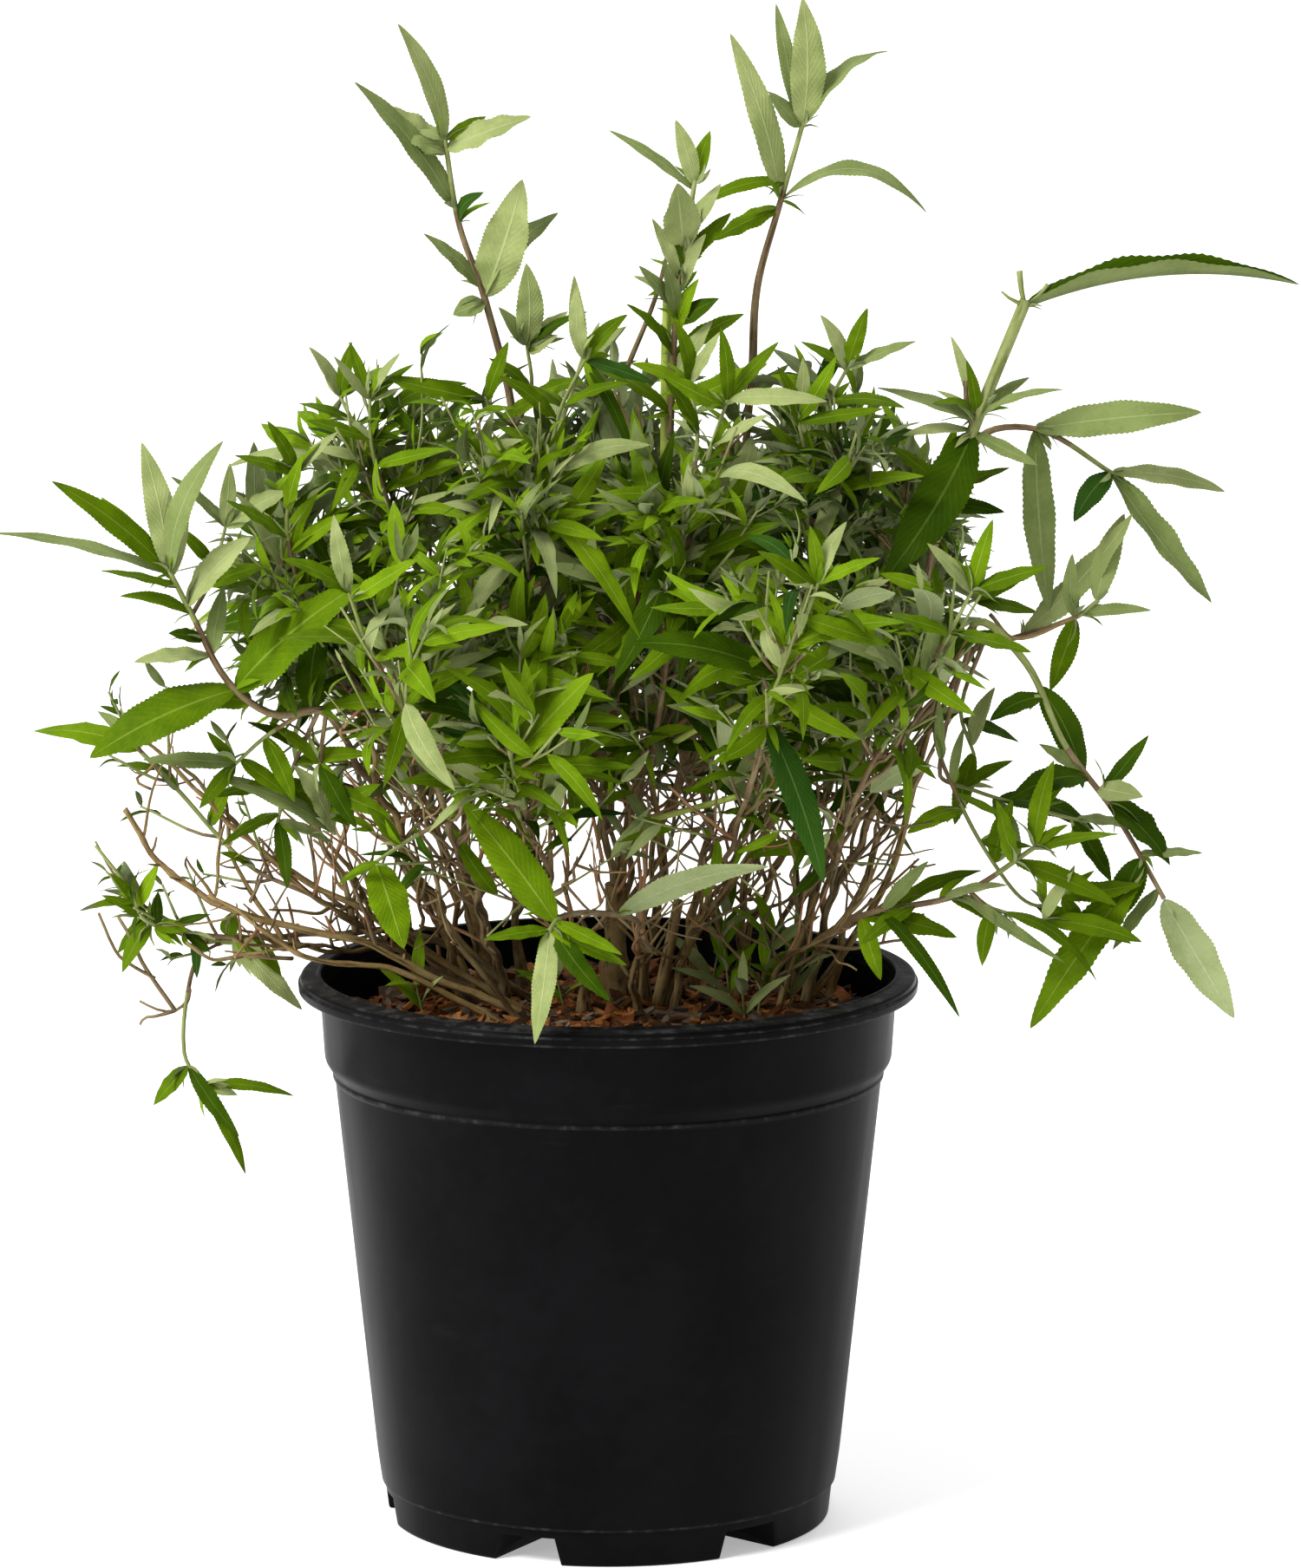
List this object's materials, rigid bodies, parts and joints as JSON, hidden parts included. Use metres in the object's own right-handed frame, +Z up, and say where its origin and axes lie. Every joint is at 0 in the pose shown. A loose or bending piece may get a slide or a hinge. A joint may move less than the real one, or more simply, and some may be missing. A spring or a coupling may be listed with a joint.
{
  "type": "potted butterfly bush",
  "caption": "Leafy butterfly bush with many arching stems, standing in a round black nursery pot topped with bark mulch.",
  "frame": {"origin": "centre of the pot's flat underside", "axes": "+Z up along the pot's upright axis, the longest side; -Y is the front of the plant, +X its right side seen from the front"},
  "size_m": [0.5891, 0.4705, 0.6927],
  "materials": {
    "pot_plastic": "blow-moulded black polyethylene, satin, with soft scuffs and dust",
    "bark_mulch": "coarse reddish-brown bark chips over peat, dry and matt",
    "bark": "thin tan-brown bark with fine lengthwise cracks, purple-grey on young stems",
    "leaf": "lance-shaped leaves, matt green above with sunken veins, felted grey-green below"
  },
  "bodies": {
    "root": {"pot": "pot_plastic", "potting_mix": "bark_mulch", "stem_left": "bark", "stem_centre": "bark", "stem_upper_left": "bark", "stem_top_centre": "bark", "stem_top_middle": "bark", "stem_right_cut": "bark", "stem_right_branch": "bark", "stem_right_mid": "bark", "stem_right_arching": "bark", "stem_right_low": "bark", "stem_left_big": "bark", "stem_low_left": "bark", "stem_low_left_hanging": "bark", "stem_front_rim": "bark", "stem_front_left": "bark", "stem_front_centre": "bark", "stem_front_right": "bark", "stem_side_right": "bark", "bough_mid_left": "bark", "bough_high_left": "bark", "bough_high_mid_left": "bark", "bough_high_mid": "bark", "stem_high_right": "bark", "stem_mid_right": "bark", "stem_back_left": "bark", "stem_back_mid_left": "bark", "stem_back_mid": "bark", "stem_back_mid_right": "bark", "stem_back_right": "bark", "bough_top_back": "bark", "foliage_upper_left": "leaf", "foliage_top_centre": "leaf", "foliage_top_middle": "leaf", "foliage_right_cut": "leaf", "foliage_right_branch": "leaf", "foliage_right_mid": "leaf", "foliage_right_arching": "leaf", "foliage_right_low": "leaf", "foliage_left_big": "leaf", "foliage_low_left": "leaf", "foliage_low_left_hanging": "leaf", "foliage_front_rim": "leaf", "foliage_front_left": "leaf", "foliage_front_centre": "leaf", "foliage_front_right": "leaf", "foliage_side_right": "leaf", "foliage_mid_left": "leaf", "foliage_high_left": "leaf", "foliage_high_mid_left": "leaf", "foliage_high_mid": "leaf", "foliage_high_right": "leaf", "foliage_mid_right": "leaf", "foliage_back_left": "leaf", "foliage_back_mid_left": "leaf", "foliage_back_mid": "leaf", "foliage_back_mid_right": "leaf", "foliage_back_right": "leaf", "foliage_top_back": "leaf"}
  },
  "joints": []
}
